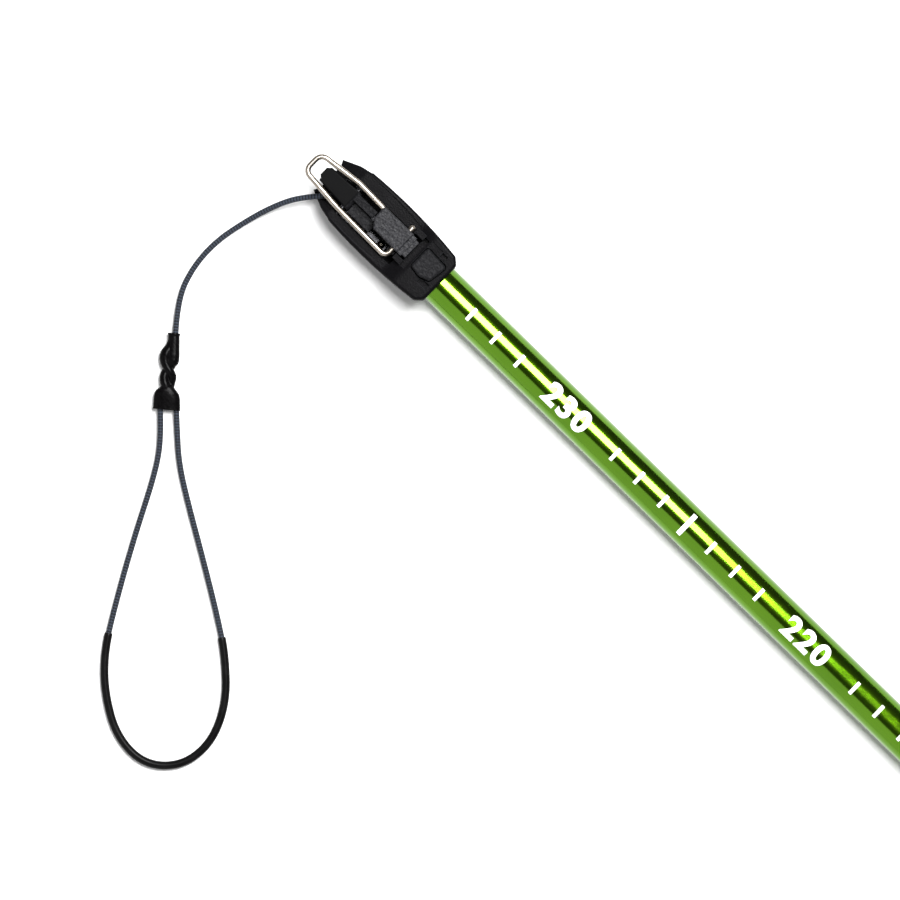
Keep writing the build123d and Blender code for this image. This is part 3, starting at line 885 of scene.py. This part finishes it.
def fold_links(tones):
    """The bare braided cord at each fold, drawn round the fold's bend."""
    for n, (hinge, side, heading, turned) in enumerate(HINGES):
        radius = PITCHES[n] / 2
        lap = SLACK / 2 + CORD_LAP
        arc_start = hinge - unit(heading + 90) * (side * radius)
        arc_end = hinge - unit(turned + 90) * (side * radius)
        points = [arc_start - unit(heading) * lap]
        steps = 24
        for i in range(steps + 1):
            at = heading + (turned - heading) * i / steps
            points.append(hinge - unit(at + 90) * (side * radius))
        points.append(arc_end + unit(turned) * lap)
        line = evenly([mm(*p) for p in points], LINE_STEP_M)
        link_piece = braided_cord(f"fold_braid_{n + 1}", line, tones)
        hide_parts(f"fold_link_{n + 1}")
        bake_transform(link_piece)


# ---- lock -------------------------------------------------------------------------------


def coil_spring(material):
    """The lever's torsion spring: a coil on the pin, one leg to the floor and one that follows the tab."""
    coil = []
    steps = 84
    for i in range(steps + 1):
        share = i / steps
        angle = math.radians(205) - share * SPRING_TURNS * 2 * math.pi
        x = LEVER_PIN_X + SPRING_COIL_RADIUS * math.cos(angle)
        z = LEVER_PIN_Z + SPRING_COIL_RADIUS * math.sin(angle)
        coil.append((x, 3.35 + 1.4 * share, z))
    upper_leg = [(4.6, 2.3, 9.75), (5.2, 3.0, 9.75), (6.8, 3.3, 10.0)]
    lower_leg = [(11.0, 4.8, 9.0), (10.6, 4.8, 5.5), (10.2, 4.8, 4.4)]
    points = evenly([mm(*p) for p in upper_leg + coil + lower_leg], 0.00025)
    sides = 10
    vertices = tube_rings(points, SPRING_WIRE_RADIUS / 1000, sides)
    obj = mesh_object("lever_spring_coil", vertices, capped_faces(len(points), sides))
    set_materials(obj, material)
    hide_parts("lever_spring")
    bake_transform(obj)


def finish_cad_nodes(nodes, finishes):
    """Gives the CAD parts that are shown their materials."""
    for name, material in finishes.items():
        set_materials(nodes[name], material)


# ---- the whole scene --------------------------------------------------------------------

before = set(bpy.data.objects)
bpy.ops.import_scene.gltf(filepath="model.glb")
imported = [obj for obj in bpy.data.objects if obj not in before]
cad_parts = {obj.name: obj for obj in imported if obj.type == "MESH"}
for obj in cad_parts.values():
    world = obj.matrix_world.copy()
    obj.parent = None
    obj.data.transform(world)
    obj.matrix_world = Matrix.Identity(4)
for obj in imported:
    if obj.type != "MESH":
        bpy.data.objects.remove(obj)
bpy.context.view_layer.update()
camera()

strand = yarn("cord_strand", (0.0012, 0.0016, 0.0025), (0.004, 0.005, 0.0075))
pale_strand = yarn("cord_tracer", (0.015, 0.019, 0.028), (0.042, 0.052, 0.072))
core = yarn("cord_core", (0.0025, 0.003, 0.0045), (0.005, 0.006, 0.009))
cord_tones = (strand, pale_strand, core)
free_cords(cord_tones, shrink_tube(), grip_rubber())

lights()
floor()

alloy = turned_metal("turned_alloy", (0.40, 0.40, 0.395), 0.27)
blackened = turned_metal("blackened_steel", (0.045, 0.045, 0.048), 0.33)
rivet = turned_metal("rivet_steel", (0.15, 0.135, 0.11), 0.12)
coarse = moulded_black("coarse_plastic", (0.008, 0.008, 0.009), 1.7, 0.18, 0.42, 0.09, 3.8)
grained = moulded_black("grained_plastic", (0.0042, 0.0042, 0.0047), 1.7, 0.12, 0.42, 0.035, 3.2)
lever = moulded_black(
    "lever_plastic", (0.0040, 0.0040, 0.0045), 1.7, 0.12, 0.34, 0.018, 3.2, smooth_and_shaded_to=TAB_END_X
)
shell = moulded_black("shell_plastic", (0.0019, 0.0018, 0.0021), 3.5, 0.04, 0.38, 0.022, 2.4)
wire = drawn_wire()
finish_cad_nodes(
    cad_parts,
    {
        "lock_housing": shell,
        "tube_plug": alloy,
        "anvil_plate": blackened,
        "anvil_rivet": rivet,
        "lever_pin": blackened,
        "wire_bail": wire,
        "cam_block": coarse,
        "thumb_lever": lever,
        "jaw_plate": grained,
        "press_pad": grained,
        "lock_cord": strand,
        **{f"tension_cord_{n + 1}": strand for n in range(SECTIONS)},
    },
)
poles(anodised_green(), alloy, white_ink())
fold_links(cord_tones)
coil_spring(blackened)
